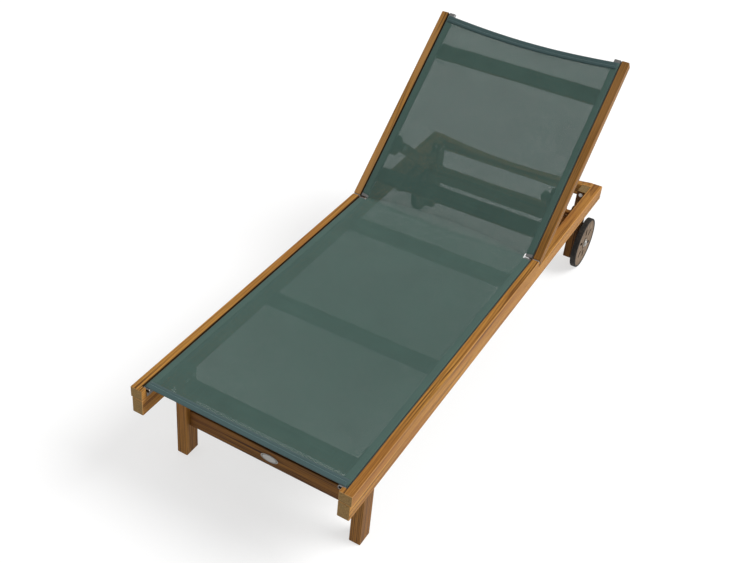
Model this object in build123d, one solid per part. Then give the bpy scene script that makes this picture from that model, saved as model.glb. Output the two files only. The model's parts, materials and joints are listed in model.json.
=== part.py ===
from build123d import *
import os
from math import cos, degrees, asin, radians, sin, sqrt

# Reclining sun lounger. +X is the sitter's left-to-right axis seen from the foot, +Y runs from the
# foot to the head, +Z is up. The origin is on the floor, under the middle of the whole length,
# wheels included.
# All sizes are in millimetres.

# Overall sizes
overall_width = 700.0
frame_length = 1840.0
seat_height = 356.0
hinge_from_foot = 1208.0
back_length = 752.0
back_rest_angle = 40.2
back_top_angle = 66.0

# Side rails
seat_rail_width = 40.0
seat_rail_height = 36.0
back_rail_height = 35.0
lower_rail_width = 36.0
lower_rail_height = 54.0
lower_rail_inset = 4.0
arris = 2.5

# Legs
leg_width = 36.0
leg_depth = 54.0
leg_housing = 5.0
foot_leg_from_foot = 148.0
rear_leg_ground_gap = 28.0

# Cross pieces
foot_rail_height = 57.0
foot_rail_thickness = 24.0
foot_rail_lift = 113.0
foot_rail_setback = 17.0
rear_rail_height = 54.0
rear_rail_thickness = 36.0
rear_rail_lift = 146.0
head_rail_height = 50.0
head_rail_thickness = 30.0
head_rail_scoop = 24.0
slat_thickness = 20.0
slat_width = 54.0
hinge_slat_width = 66.0
mid_slat_from_foot = 603.0
hinge_slat_from_foot = 1116.0
back_bar_width = 55.0
back_bar_thickness = 19.0
low_bar_from_hinge = 77.0
top_bar_from_hinge = 583.0
tenon_length = 18.0
tenon_shoulder = 5.0

# Sling tracks
track_block_end = 18.0
rebate_width = 14.5
rebate_depth = 15.0
track_overhang = 13.0
track_sink = 2.0
track_edge_radius = 5.0
track_flange_height = 15.0
track_flange_thickness = 2.2
track_cavity_radius = 1.5
track_side_gap = 2.3
spline_radius = 2.7
spline_bore_radius = 3.0
spline_wall = 1.0
spline_lip = 1.8
spline_mouth = 2.2
sling_thickness = 1.6
sling_lift = 0.4
sling_foot_edge = 24.0
sling_top_margin = 12.0

# Backrest hinge
hinge_gap = 5.0
hinge_depth = 3.5
barrel_radius = 3.4
hinge_pin_radius = 1.6
leaf_thickness = 1.5
leaf_foot_margin = 3.5
leaf_margin = 3.0
knuckle_count = 3
hinge_screw_radius = 1.9
hinge_screw_length = 20.0
leaf_screw_shares = (0.25, 0.75)
leaf_screw_height_share = 0.45

# Prop
pivot_from_hinge = 224.0
pivot_depth = 27.0
prop_arm_length = 300.0
prop_arm_width = 35.0
prop_arm_thickness = 22.0
pivot_block_length = 70.0
pivot_block_bottom = 46.0
pivot_block_thickness = 25.5
pivot_block_round = 20.0
pivot_bolt_radius = 4.0
pivot_bolt_reach = 24.0
bolt_head_radius = 7.5
bolt_head_height = 4.5
washer_radius = 10.0
washer_thickness = 1.6
prop_bar_radius = 10.0
prop_bar_edge_radius = 1.5
prop_foot_height = 297.0
prop_bar_end_gap = 3.0
ratchet_thickness = 21.0
ratchet_height = 38.0
ratchet_end = 18.0
ratchet_arris = 1.5
notch_depth = 8.0
notch_angles = (0.0, 14.0, 27.0, back_rest_angle, 54.0, back_top_angle)

# Wheels
wheel_radius = 96.5
wheel_width = 20.0
tyre_thickness = 6.0
tyre_edge_radius = 2.5
wheel_face_inset = 1.5
hub_ring_width = 6.0
wheel_inner_gap = 9.5
wheel_slot_count = 6
wheel_slot_radius = 49.0
wheel_slot_length = 30.0
wheel_slot_width = 11.0
wheel_slot_turn = 36.0
axle_radius = 6.0
bush_radius = 11.0
bush_flange_radius = 15.0
bush_flange_thickness = 2.0
cap_radius = 12.0
cap_height = 4.8
cap_dome_radius = 3.6
cap_bore_depth = 2.4

# Fasteners and badge
leg_bolt_radius = 4.0
leg_bolt_spacing = 28.0
leg_bolt_reach = 22.0
head_bolt_drop = 15.0
head_bolt_reach = 18.0
strip_screw_radius = 2.0
strip_screw_reach = 14.0
strip_screw_shares = (0.1, 0.5, 0.9)
strip_screw_height_share = 0.3
screw_recess_radius = 1.6
screw_recess_depth = 1.2
socket_radius = 3.0
socket_depth = 3.0
track_screw_pitch = 230.0
track_screw_margin = 40.0
badge_width = 58.0
badge_height = 26.0
badge_thickness = 1.5
badge_edge_radius = 0.75

# Clearances
fit = 0.15
tenon_end_gap = 1.0
running = 0.05
side_gap = 0.4
notch_gap = 3.0
part_gap = 0.5

# How far a cut passes the faces that it opens
overcut = 1.0

# Worked-out places
half_width = overall_width / 2
rear_leg_back = head_rail_thickness + leg_depth / 2
wheel_overhang = max(0.0, wheel_radius - rear_leg_back)
foot_y = -(frame_length + wheel_overhang) / 2
head_y = foot_y + frame_length
seat_rail_inner = half_width - seat_rail_width
seat_rail_base = seat_height - seat_rail_height
lower_outer = half_width - lower_rail_inset
lower_inner = lower_outer - lower_rail_width
lower_base = seat_rail_base - lower_rail_height
leg_outer = lower_inner + leg_housing
leg_inner = leg_outer - leg_width
foot_leg_y = foot_y + foot_leg_from_foot
rear_leg_y = head_y - head_rail_thickness - leg_depth
hinge_y = foot_y + hinge_from_foot
hinge_z = seat_height - hinge_depth
seat_rail_end = hinge_y - hinge_gap / 2
back_rail_start = hinge_y + hinge_gap / 2
back_rail_end = hinge_y + back_length
back_rail_base = seat_height - back_rail_height
track_inner = seat_rail_inner - track_overhang
track_outer = seat_rail_inner + rebate_width - track_side_gap
track_top = seat_height - track_sink
track_base = seat_height - rebate_depth
track_end_gap = barrel_radius + part_gap
seat_track_y = (foot_y + track_block_end + part_gap, hinge_y - track_end_gap)
back_track_y = (hinge_y + track_end_gap, hinge_y + back_length)
pivot_block_y = (
    hinge_y + pivot_from_hinge - pivot_block_length / 2,
    hinge_y + pivot_from_hinge + pivot_block_length / 2,
)
spline_x = track_outer - spline_bore_radius - spline_wall
sling_side = spline_x + spline_lip
spline_z = (track_top + track_base) / 2
wheel_inner = leg_outer + wheel_inner_gap
wheel_outer = wheel_inner + wheel_width
axle_y = rear_leg_y + leg_depth / 2
block_inner = seat_rail_inner - pivot_block_thickness
arm_outer = block_inner - part_gap
arm_inner = arm_outer - prop_arm_thickness
ratchet_inner = lower_inner - ratchet_thickness
hinge_line = Axis((0, hinge_y, hinge_z), (1, 0, 0))


def beam(x, y, z, round_edge=arris):
    """A timber from x[0] to x[1], y[0] to y[1] and z[0] to z[1], with every edge eased."""
    size = (x[1] - x[0], y[1] - y[0], z[1] - z[0])
    centre = ((x[0] + x[1]) / 2, (y[0] + y[1]) / 2, (z[0] + z[1]) / 2)
    solid = Box(*size)
    if round_edge > 0:
        solid = fillet(solid.edges(), min(round_edge, min(size) / 3))
    return Pos(*centre) * solid


def block(x, y, z):
    """A square-edged block, used for joints and cuts."""
    return beam(x, y, z, 0)


def through(span):
    """A span carried past both of its ends, for a cut that goes right through."""
    return (span[0] - overcut, span[1] + overcut)


def rod_x(x, y, z, radius):
    """A round bar along X from x[0] to x[1]."""
    turned = Rot(0, 90, 0) * Cylinder(radius, x[1] - x[0])
    return Pos((x[0] + x[1]) / 2, y, z) * turned


def rod_y(x, y, z, radius):
    """A round bar along Y from y[0] to y[1]."""
    turned = Rot(90, 0, 0) * Cylinder(radius, y[1] - y[0])
    return Pos(x, (y[0] + y[1]) / 2, z) * turned


def mirrored(solid):
    return mirror(solid, about=Plane.YZ)


def tilted(solid):
    """Turns a backrest piece that was drawn lying flat up to its rest angle."""
    return solid.rotate(hinge_line, back_rest_angle)


def tenoned(x_half, y, z, round_edge=arris):
    """A cross piece between x = -x_half and x_half, with a stub tenon on each end."""
    body = beam((-x_half, x_half), y, z, round_edge)
    ends = tenon((-x_half - tenon_length, -x_half + tenon_shoulder), y, z)
    ends += tenon((x_half - tenon_shoulder, x_half + tenon_length), y, z)
    return body + ends


def tenon(x, y, z):
    inset_y = (y[0] + tenon_shoulder, y[1] - tenon_shoulder)
    inset_z = (z[0] + tenon_shoulder, z[1] - tenon_shoulder)
    return block(x, inset_y, inset_z)


def mortise(x_face, y, z):
    """The pocket that takes a tenon that enters at x_face and runs outward along X."""
    x = (x_face - overcut, x_face + tenon_length + tenon_end_gap)
    inset_y = (y[0] + tenon_shoulder - fit, y[1] - tenon_shoulder + fit)
    inset_z = (z[0] + tenon_shoulder - fit, z[1] - tenon_shoulder + fit)
    return block(x, inset_y, inset_z)


# Heights and depths shared by the cross pieces and the members that they enter
foot_rail_span_y = (
    foot_leg_y + foot_rail_setback,
    foot_leg_y + foot_rail_setback + foot_rail_thickness,
)
foot_rail_span_z = (foot_rail_lift, foot_rail_lift + foot_rail_height)
rear_rail_span_y = (axle_y - rear_rail_thickness / 2, axle_y + rear_rail_thickness / 2)
rear_rail_span_z = (rear_rail_lift, rear_rail_lift + rear_rail_height)
head_rail_span_y = (head_y - head_rail_thickness, head_y)
head_rail_span_z = (seat_rail_base - head_rail_height, seat_rail_base)
foot_slat_span_y = (foot_leg_y, foot_leg_y + leg_depth)
foot_slat_span_z = (lower_base - slat_thickness, lower_base)
mid_slat_span_y = (foot_y + mid_slat_from_foot, foot_y + mid_slat_from_foot + slat_width)
hinge_slat_span_y = (
    foot_y + hinge_slat_from_foot,
    foot_y + hinge_slat_from_foot + hinge_slat_width,
)
slat_span_z = (lower_base, lower_base + slat_thickness)
back_bar_span_z = (track_base - side_gap - back_bar_thickness, track_base - side_gap)
low_bar_span_y = (hinge_y + low_bar_from_hinge, hinge_y + low_bar_from_hinge + back_bar_width)
top_bar_span_y = (hinge_y + top_bar_from_hinge, hinge_y + top_bar_from_hinge + back_bar_width)
flange_gaps = (low_bar_span_y, pivot_block_y, top_bar_span_y)


# ---- Prop geometry -------------------------------------------------------------------------

def pivot_at(angle):
    """The prop pivot's place in Y and Z with the backrest raised by angle degrees."""
    along = pivot_from_hinge
    above = hinge_depth - pivot_depth
    turn = radians(angle)
    y = hinge_y + along * cos(turn) - above * sin(turn)
    z = hinge_z + along * sin(turn) + above * cos(turn)
    return y, z


def foot_at(angle):
    """Where the prop's bar lies along the ratchet with the backrest raised by angle degrees."""
    y, z = pivot_at(angle)
    drop = z - prop_foot_height
    return y + sqrt(prop_arm_length ** 2 - drop ** 2)


pivot_y, pivot_z = pivot_at(back_rest_angle)
prop_slope = degrees(asin((pivot_z - prop_foot_height) / prop_arm_length))
ratchet_tip = prop_foot_height - prop_bar_radius - notch_gap


# ---- Sling tracks --------------------------------------------------------------------------

def rebate(y):
    """The step cut in a rail's top inner edge, where the sling track sits."""
    x = (seat_rail_inner - overcut, seat_rail_inner + rebate_width)
    return block(x, y, (track_base, seat_height + overcut))


def track(y):
    """An aluminium sling track: a hollow head, a round channel open at its top outer corner, a flange."""
    head = block((track_inner, track_outer), y, (track_base, track_top))
    inner_edges = head.edges().filter_by(Axis.Y).sort_by(Axis.X)[0:2]
    head = fillet(inner_edges, track_edge_radius)
    flange_x = (seat_rail_inner - track_flange_thickness, seat_rail_inner)
    flange = block(flange_x, y, (track_base - track_flange_height, track_base + track_flange_thickness))
    past = through(y)
    channel = rod_y(spline_x, past, spline_z, spline_bore_radius)
    mouth_x = (spline_x + spline_lip, track_outer + overcut)
    mouth = block(mouth_x, past, (spline_z + spline_mouth, track_top + overcut))
    wall = track_flange_thickness
    cavity_x = (track_inner + wall, spline_x - spline_bore_radius - wall)
    cavity = beam(cavity_x, past, (track_base + wall, track_top - wall), track_cavity_radius)
    return head + flange - channel - mouth - cavity


def screw_places(y, blocked):
    """Evenly spaced places in each stretch of track that the blocked spans leave free."""
    edges = [y[0]] + [edge for span in sorted(blocked) for edge in span] + [y[1]]
    places = []
    for start, end in zip(edges[0::2], edges[1::2]):
        span = end - start - 2 * track_screw_margin
        if span < 0:
            places += [(start + end) / 2] if end - start > track_screw_margin else []
            continue
        gaps = max(1, round(span / track_screw_pitch))
        places += [start + track_screw_margin + span * i / gaps for i in range(gaps + 1)]
    return places


def screw_x(tip, head, y, z, radius):
    """A countersunk wood screw along X, with its head's flat face at x = head."""
    way = 1 if tip > head else -1
    sink = radius
    shank = rod_x(sorted((head, tip)), y, z, radius)
    cone = Pos(head + way * sink / 2, y, z) * Rot(0, 90 * way, 0) * Cone(2 * radius, radius, sink)
    bottom = head + way * screw_recess_depth
    recess = rod_x(sorted((head - way * overcut, bottom)), y, z, screw_recess_radius)
    return shank + cone - recess


def track_screws(y, blocked=()):
    z = track_base - track_flange_height / 2
    head = seat_rail_inner - track_flange_thickness
    tip = seat_rail_inner + strip_screw_reach
    return [screw_x(tip, head, place, z, strip_screw_radius) for place in screw_places(y, blocked)]


def track_screw_holes(y, blocked=()):
    """The pilot holes and the countersinks for the screws of one track."""
    z = track_base - track_flange_height / 2
    head = seat_rail_inner - track_flange_thickness
    holes = []
    for place in screw_places(y, blocked):
        sink = strip_screw_radius + running
        bore = rod_x(through((head, seat_rail_inner + strip_screw_reach)), place, z, sink)
        cone = Pos(head + sink / 2, place, z) * Rot(0, 90, 0) * Cone(2 * sink, sink, sink)
        holes.append(bore + cone)
    return holes


# ---- Backrest hinge ------------------------------------------------------------------------

leaf_x = (seat_rail_inner + rebate_width + part_gap, half_width - leaf_margin)
knuckle_length = (leaf_x[1] - leaf_x[0] - side_gap * (knuckle_count - 1)) / knuckle_count
leaf_screw_x = [leaf_x[0] + (leaf_x[1] - leaf_x[0]) * share for share in leaf_screw_shares]
leaf_base = max(seat_rail_base, back_rail_base) + leaf_foot_margin
leaf_screw_z = leaf_base + (hinge_z - barrel_radius - leaf_base) * leaf_screw_height_share


def knuckles(owner, radius, grow=0.0):
    """The barrel pieces of one leaf: the even ones belong to the seat, the odd ones to the back."""
    pieces = []
    for i in range(owner, knuckle_count, 2):
        start = leaf_x[0] + i * (knuckle_length + side_gap)
        pieces.append(rod_x((start - grow, start + knuckle_length + grow), hinge_y, hinge_z, radius))
    return pieces


def hinge_leaf(owner):
    """One leaf on a rail's end face, drawn with the backrest flat."""
    way = -1 if owner == 0 else 1
    face = hinge_y + way * hinge_gap / 2
    y = sorted((face, face - way * leaf_thickness))
    leaf = block(leaf_x, y, (leaf_base, hinge_z))
    for knuckle in knuckles(1 - owner, barrel_radius + side_gap, side_gap):
        leaf -= knuckle
    for knuckle in knuckles(owner, barrel_radius):
        leaf += knuckle
    leaf -= rod_x(through(leaf_x), hinge_y, hinge_z, hinge_pin_radius + running)
    for hole in hinge_screw_holes(owner):
        leaf -= hole
    return leaf


def hinge_screw(owner, x, grow=0.0):
    """A countersunk screw along Y through a leaf into the rail's end, with its head in the gap."""
    way = -1 if owner == 0 else 1
    head = hinge_y + way * (hinge_gap / 2 - leaf_thickness)
    radius = hinge_screw_radius + grow
    tip = head + way * (hinge_screw_length + grow)
    shank = rod_y(x, sorted((head, tip)), leaf_screw_z, radius)
    sink = leaf_thickness
    turn = Rot(-90 * way, 0, 0)
    cone = Pos(x, head + way * sink / 2, leaf_screw_z) * turn * Cone(2 * radius, radius, sink)
    return shank + cone


def hinge_screw_holes(owner):
    return [hinge_screw(owner, x, running) for x in leaf_screw_x]


def hinge_relief():
    """The round recess that both rail ends have for the hinge barrel."""
    return rod_x(through((seat_rail_inner, half_width)), hinge_y, hinge_z, barrel_radius + part_gap)


# ---- Frame timbers -------------------------------------------------------------------------

def seat_rail():
    rail = beam((seat_rail_inner, half_width), (foot_y, seat_rail_end), (seat_rail_base, seat_height))
    rail -= rebate((foot_y + track_block_end, seat_rail_end + overcut))
    rail -= hinge_relief()
    for hole in track_screw_holes(seat_track_y) + hinge_screw_holes(0):
        rail -= hole
    return rail


def leg_bolt_places(leg_y):
    """The two bolts of a leg, side by side at the middle of the lower rail's height."""
    z = (lower_base + seat_rail_base) / 2
    middle = leg_y + leg_depth / 2
    return [(middle - leg_bolt_spacing / 2, z), (middle + leg_bolt_spacing / 2, z)]


def leg_bolt(y, z, grow=0.0):
    """A bolt along X from the leg's inner face into the lower rail, with a sunk head."""
    head_x = (leg_inner - grow, leg_inner + bolt_head_height)
    head = rod_x(head_x, y, z, bolt_head_radius + grow)
    shank = rod_x((leg_inner, lower_inner + leg_bolt_reach + grow), y, z, leg_bolt_radius + grow)
    return head + shank


def socketed(bolt, x, y, z):
    """Cuts the hexagon socket in a bolt head whose face is at x, seen from the inside."""
    hexagon = extrude(RegularPolygon(socket_radius, 6), socket_depth)
    return bolt - Pos(x, y, z) * Rot(0, 90, 0) * hexagon


def leg_bolts():
    bolts = []
    for leg_y in (foot_leg_y, rear_leg_y):
        for y, z in leg_bolt_places(leg_y):
            bolts.append(socketed(leg_bolt(y, z), leg_inner, y, z))
    return bolts


def lower_rail():
    rail = beam((lower_inner, lower_outer), (foot_y, head_y), (lower_base, seat_rail_base))
    rail -= mortise(lower_inner, mid_slat_span_y, slat_span_z)
    rail -= mortise(lower_inner, hinge_slat_span_y, slat_span_z)
    rail -= mortise(lower_inner, head_rail_span_y, head_rail_span_z)
    for leg_y in (foot_leg_y, rear_leg_y):
        for y, z in leg_bolt_places(leg_y):
            hole_x = through((lower_inner, lower_inner + leg_bolt_reach))
            rail -= rod_x(hole_x, y, z, leg_bolt_radius + fit)
    for y, z in ratchet_screw_places():
        rail -= rod_x(through((lower_inner, ratchet_screw_tip)), y, z, strip_screw_radius + running)
    return rail


def leg(leg_y, base):
    """A leg with a step at its top that houses the lower rail."""
    y = (leg_y, leg_y + leg_depth)
    post = beam((leg_inner, leg_outer), y, (base, seat_rail_base))
    step_x = (lower_inner, leg_outer + overcut)
    post -= block(step_x, through(y), (lower_base, seat_rail_base + overcut))
    for bolt_y, bolt_z in leg_bolt_places(leg_y):
        post -= leg_bolt(bolt_y, bolt_z, fit)
    return post


def foot_leg():
    post = leg(foot_leg_y, 0.0)
    post -= mortise(leg_inner, foot_rail_span_y, foot_rail_span_z)
    post -= mortise(leg_inner, foot_slat_span_y, foot_slat_span_z)
    return post


def head_bolt(grow=0.0):
    """The bolt along Y from the rear leg's front face into the head rail."""
    x = (leg_inner + lower_inner) / 2
    z = seat_rail_base - head_bolt_drop
    head = rod_y(x, (rear_leg_y - grow, rear_leg_y + bolt_head_height), z, bolt_head_radius + grow)
    end = rear_leg_y + leg_depth + head_bolt_reach + grow
    shank = rod_y(x, (rear_leg_y, end), z, leg_bolt_radius + grow)
    return head + shank


def rear_leg():
    post = leg(rear_leg_y, rear_leg_ground_gap)
    post -= mortise(leg_inner, rear_rail_span_y, rear_rail_span_z)
    post -= head_bolt(fit)
    post -= rod_x(through((leg_inner, leg_outer)), axle_y, wheel_radius, axle_radius + fit)
    return post


def head_rail():
    """The end rail of the lower frame. Its top edge dips in the middle, clear of the sling."""
    rail = tenoned(lower_inner, head_rail_span_y, head_rail_span_z)
    half_chord = lower_inner
    radius = (half_chord ** 2 + head_rail_scoop ** 2) / (2 * head_rail_scoop)
    centre_z = seat_rail_base - head_rail_scoop + radius
    rail -= rod_y(0, through(head_rail_span_y), centre_z, radius)
    for bolt in (head_bolt(fit), mirrored(head_bolt(fit))):
        rail -= bolt
    return rail


# ---- Ratchet -------------------------------------------------------------------------------

ratchet_span_y = (foot_at(back_top_angle) - ratchet_end, foot_at(0) + ratchet_end)
ratchet_screw_tip = lower_inner + strip_screw_reach
ratchet_base = ratchet_tip - ratchet_height


def ratchet_screw_places():
    z = ratchet_base + ratchet_height * strip_screw_height_share
    length = ratchet_span_y[1] - ratchet_span_y[0]
    return [(ratchet_span_y[0] + length * share, z) for share in strip_screw_shares]


def ratchet_screw(y, z):
    return screw_x(ratchet_screw_tip, ratchet_inner, y, z, strip_screw_radius)


def ratchet():
    """The notched strip on the lower rail's inner face that takes the prop's bar."""
    strip = beam((ratchet_inner, lower_inner), ratchet_span_y, (ratchet_base, ratchet_tip), ratchet_arris)
    cutter = prop_bar_radius + part_gap
    for angle in notch_angles:
        strip -= rod_x(through((ratchet_inner, lower_inner)), foot_at(angle),
                       ratchet_tip + cutter - notch_depth, cutter)
    sink = strip_screw_radius + running
    for y, z in ratchet_screw_places():
        strip -= rod_x(through((ratchet_inner, lower_inner)), y, z, sink)
        strip -= Pos(ratchet_inner + sink / 2, y, z) * Rot(0, 90, 0) * Cone(2 * sink, sink, sink)
    return strip


# ---- Backrest ------------------------------------------------------------------------------

def back_rail():
    rail = beam((seat_rail_inner, half_width), (back_rail_start, back_rail_end),
                (back_rail_base, seat_height))
    rail -= rebate(through((back_rail_start, back_rail_end)))
    rail -= hinge_relief()
    rail -= mortise(seat_rail_inner, low_bar_span_y, back_bar_span_z)
    rail -= mortise(seat_rail_inner, top_bar_span_y, back_bar_span_z)
    rail -= pivot_bolt(running)
    for hole in track_screw_holes(back_track_y, flange_gaps) + hinge_screw_holes(1):
        rail -= hole
    return rail


def pivot_bolt(grow=0.0):
    """The prop's pivot bolt, drawn with the backrest flat: head inside, thread in the rail."""
    y, z = hinge_y + pivot_from_hinge, seat_height - pivot_depth
    head_x = (arm_inner - washer_thickness - bolt_head_height, arm_inner - washer_thickness)
    head = rod_x(head_x, y, z, bolt_head_radius)
    tip = seat_rail_inner + pivot_bolt_reach + grow
    return head + rod_x((head_x[1], tip), y, z, pivot_bolt_radius + grow)


def pivot_washer():
    y, z = hinge_y + pivot_from_hinge, seat_height - pivot_depth
    x = (arm_inner - washer_thickness, arm_inner - side_gap)
    ring = rod_x(x, y, z, washer_radius)
    return ring - rod_x(through(x), y, z, pivot_bolt_radius + running)


def pivot_block():
    """The bearing block between a back rail and a prop arm, set back where it passes the lower rail."""
    z = (seat_height - pivot_block_bottom, track_base - side_gap)
    solid = block((block_inner, seat_rail_inner), pivot_block_y, z)
    corners = solid.edges().filter_by(Axis.X).sort_by(Axis.Z)[0:2]
    solid = fillet(corners, min(pivot_block_round, (z[1] - z[0]) * 0.9))
    relief_x = (seat_rail_inner - part_gap, seat_rail_inner + overcut)
    solid -= block(relief_x, through(pivot_block_y), (z[0] - overcut, back_rail_base))
    bore_y = hinge_y + pivot_from_hinge
    bore_x = through((block_inner, seat_rail_inner))
    return solid - rod_x(bore_x, bore_y, seat_height - pivot_depth, pivot_bolt_radius + running)


# ---- Prop ----------------------------------------------------------------------------------

def placed_prop(solid):
    """Moves a prop piece drawn along +Y from a pivot at the origin to its rest place."""
    return Pos(0, pivot_y, pivot_z) * Rot(-prop_slope, 0, 0) * solid


def prop_arm():
    half = prop_arm_width / 2
    x = (arm_inner, arm_outer)
    arm = block(x, (0, prop_arm_length), (-half, half))
    arm += rod_x(x, 0, 0, half) + rod_x(x, prop_arm_length, 0, half)
    past = through(x)
    arm -= rod_x(past, 0, 0, pivot_bolt_radius + running)
    arm -= rod_x(past, prop_arm_length, 0, prop_bar_radius)
    return arm


def prop_bar():
    reach = lower_inner - prop_bar_end_gap
    bar = rod_x((-reach, reach), prop_arm_length, 0, prop_bar_radius)
    return fillet(bar.edges(), prop_bar_edge_radius)


# ---- Wheels --------------------------------------------------------------------------------

def ring_x(x, y, z, outer, inner):
    return rod_x(x, y, z, outer) - rod_x(through(x), y, z, inner)


def wheel_disc():
    """The wooden wheel: a disc with slots between its spokes and a raised hub ring."""
    x = (wheel_inner + wheel_face_inset, wheel_outer - wheel_face_inset)
    disc = rod_x(x, axle_y, wheel_radius, wheel_radius - tyre_thickness)
    hub_x = (wheel_inner, wheel_outer)
    disc += rod_x(hub_x, axle_y, wheel_radius, bush_flange_radius + hub_ring_width)
    past = through((wheel_inner, wheel_outer))
    disc -= rod_x(past, axle_y, wheel_radius, bush_radius)
    flange_x = (wheel_outer - bush_flange_thickness, wheel_outer + overcut)
    disc -= rod_x(flange_x, axle_y, wheel_radius, bush_flange_radius)
    reach = wheel_slot_length - wheel_slot_width
    slot = Box(wheel_width * 2, reach, wheel_slot_width)
    for end in (-reach / 2, reach / 2):
        slot += Pos(0, end, 0) * Rot(0, 90, 0) * Cylinder(wheel_slot_width / 2, wheel_width * 2)
    centre = Pos((wheel_inner + wheel_outer) / 2, axle_y, wheel_radius)
    for i in range(wheel_slot_count):
        turn = wheel_slot_turn + 360 * i / wheel_slot_count
        disc -= centre * Rot(turn, 0, 0) * Pos(0, wheel_slot_radius, 0) * slot
    return disc


def tyre():
    band = ring_x((wheel_inner, wheel_outer), axle_y, wheel_radius, wheel_radius,
                  wheel_radius - tyre_thickness)
    outer = band.edges().filter_by(GeomType.CIRCLE).sort_by(SortBy.RADIUS)[-2:]
    return fillet(outer, tyre_edge_radius)


def wheel_bush():
    """The plain bearing in the wheel's hub, with a flange on the outside."""
    flange_start = wheel_outer - bush_flange_thickness
    bush = rod_x((wheel_inner, flange_start), axle_y, wheel_radius, bush_radius)
    bush += rod_x((flange_start, wheel_outer), axle_y, wheel_radius, bush_flange_radius)
    past = through((wheel_inner, wheel_outer))
    return bush - rod_x(past, axle_y, wheel_radius, axle_radius + running)


def axle_spacer():
    x = (leg_outer, wheel_inner - side_gap)
    return ring_x(x, axle_y, wheel_radius, cap_radius, axle_radius + running)


def axle_cap():
    """The domed cap that holds a wheel on the axle."""
    x = (wheel_outer + side_gap, wheel_outer + side_gap + cap_height)
    cap = rod_x(x, axle_y, wheel_radius, cap_radius)
    cap = fillet(cap.edges().sort_by(Axis.X)[-1], cap_dome_radius)
    bore_x = (x[0] - overcut, x[0] + cap_bore_depth)
    return cap - rod_x(bore_x, axle_y, wheel_radius, axle_radius + running)


def axle():
    reach = wheel_outer + side_gap + cap_bore_depth - part_gap
    return rod_x((-reach, reach), axle_y, wheel_radius, axle_radius)


# ---- Sling ---------------------------------------------------------------------------------

def sling(y):
    """A plain sheet over both tracks, standing for the mesh fabric."""
    z = (track_top + sling_lift, track_top + sling_lift + sling_thickness)
    return block((-sling_side, sling_side), y, z)


def spline(y):
    return rod_y(spline_x, y, spline_z, spline_radius)


# ---- Badge ---------------------------------------------------------------------------------

def badge():
    """A blank oval plate on the foot rail's front face."""
    middle = (foot_rail_span_z[0] + foot_rail_span_z[1]) / 2
    plane = Plane(origin=(0, foot_rail_span_y[0], middle), x_dir=(1, 0, 0), z_dir=(0, -1, 0))
    plate = extrude(plane * Ellipse(badge_width / 2, badge_height / 2), badge_thickness)
    return fillet(plate.edges().sort_by(Axis.Y)[0], badge_edge_radius)


# ---- Assembly ------------------------------------------------------------------------------

def seat_track():
    solid = track(seat_track_y)
    for hole in track_screw_holes(seat_track_y):
        solid -= hole
    return solid


def back_track():
    """The backrest's track, with its flange cut away at the bars and the pivot block."""
    solid = track(back_track_y)
    for hole in track_screw_holes(back_track_y, flange_gaps):
        solid -= hole
    for span in flange_gaps:
        solid -= block((seat_rail_inner - track_flange_thickness - overcut, seat_rail_inner + overcut),
                       (span[0] - part_gap, span[1] + part_gap), (0, track_base))
    return solid


def hinge_pin():
    return rod_x(leaf_x, hinge_y, hinge_z, hinge_pin_radius)


nodes = {}


def add_pair(name, right):
    """Adds a right-hand piece and its mirror image as two nodes."""
    nodes[name + "_right"] = right
    nodes[name + "_left"] = mirrored(right)


def add_group(name, solids):
    """Adds like fasteners of both sides as one node of separate solids."""
    nodes[name] = Compound(children=solids + [mirrored(solid) for solid in solids])


add_pair("seat_rail", seat_rail())
add_pair("lower_rail", lower_rail())
add_pair("foot_leg", foot_leg())
add_pair("rear_leg", rear_leg())
nodes["foot_rail"] = tenoned(leg_inner, foot_rail_span_y, foot_rail_span_z)
nodes["rear_rail"] = tenoned(leg_inner, rear_rail_span_y, rear_rail_span_z)
nodes["head_rail"] = head_rail()
nodes["foot_slat"] = tenoned(leg_inner, foot_slat_span_y, foot_slat_span_z)
nodes["middle_slat"] = tenoned(lower_inner, mid_slat_span_y, slat_span_z)
nodes["hinge_slat"] = tenoned(lower_inner, hinge_slat_span_y, slat_span_z)
nodes["badge_plate"] = badge()
add_pair("ratchet_strip", ratchet())
add_pair("seat_track", seat_track())
add_group("seat_splines", [spline(seat_track_y)])
add_pair("hinge_seat_leaf", hinge_leaf(0))
add_group("hinge_pins", [hinge_pin()])
add_group("axle_spacers", [axle_spacer()])
add_pair("axle_cap", axle_cap())
nodes["axle"] = axle()
nodes["sling_seat"] = sling((foot_y + sling_foot_edge, hinge_y - track_end_gap))
add_group("leg_bolts", leg_bolts())
add_group("head_rail_bolts", [head_bolt()])
add_group("ratchet_screws", [ratchet_screw(y, z) for y, z in ratchet_screw_places()])
add_group("seat_track_screws", track_screws(seat_track_y))
add_group("hinge_seat_screws", [hinge_screw(0, x) for x in leaf_screw_x])

back_bars = {"back_low_bar": low_bar_span_y, "back_top_bar": top_bar_span_y}
for name, span in back_bars.items():
    nodes[name] = tilted(tenoned(seat_rail_inner, span, back_bar_span_z))
add_pair("back_rail", tilted(back_rail()))
add_pair("back_track", tilted(back_track()))
add_group("back_splines", [tilted(spline(back_track_y))])
add_pair("hinge_back_leaf", tilted(hinge_leaf(1)))
add_pair("pivot_block", tilted(pivot_block()))
add_group("pivot_bolts", [tilted(pivot_bolt())])
add_group("pivot_washers", [tilted(pivot_washer())])
add_group("back_track_screws", [tilted(screw) for screw in track_screws(back_track_y, flange_gaps)])
add_group("hinge_back_screws", [tilted(hinge_screw(1, x)) for x in leaf_screw_x])
nodes["sling_back"] = tilted(sling((hinge_y + track_end_gap, back_rail_end - sling_top_margin)))

add_pair("prop_arm", placed_prop(prop_arm()))
nodes["prop_bar"] = placed_prop(prop_bar())

add_pair("wheel_disc", wheel_disc())
add_pair("wheel_tyre", tyre())
add_pair("wheel_bush", wheel_bush())

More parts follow.
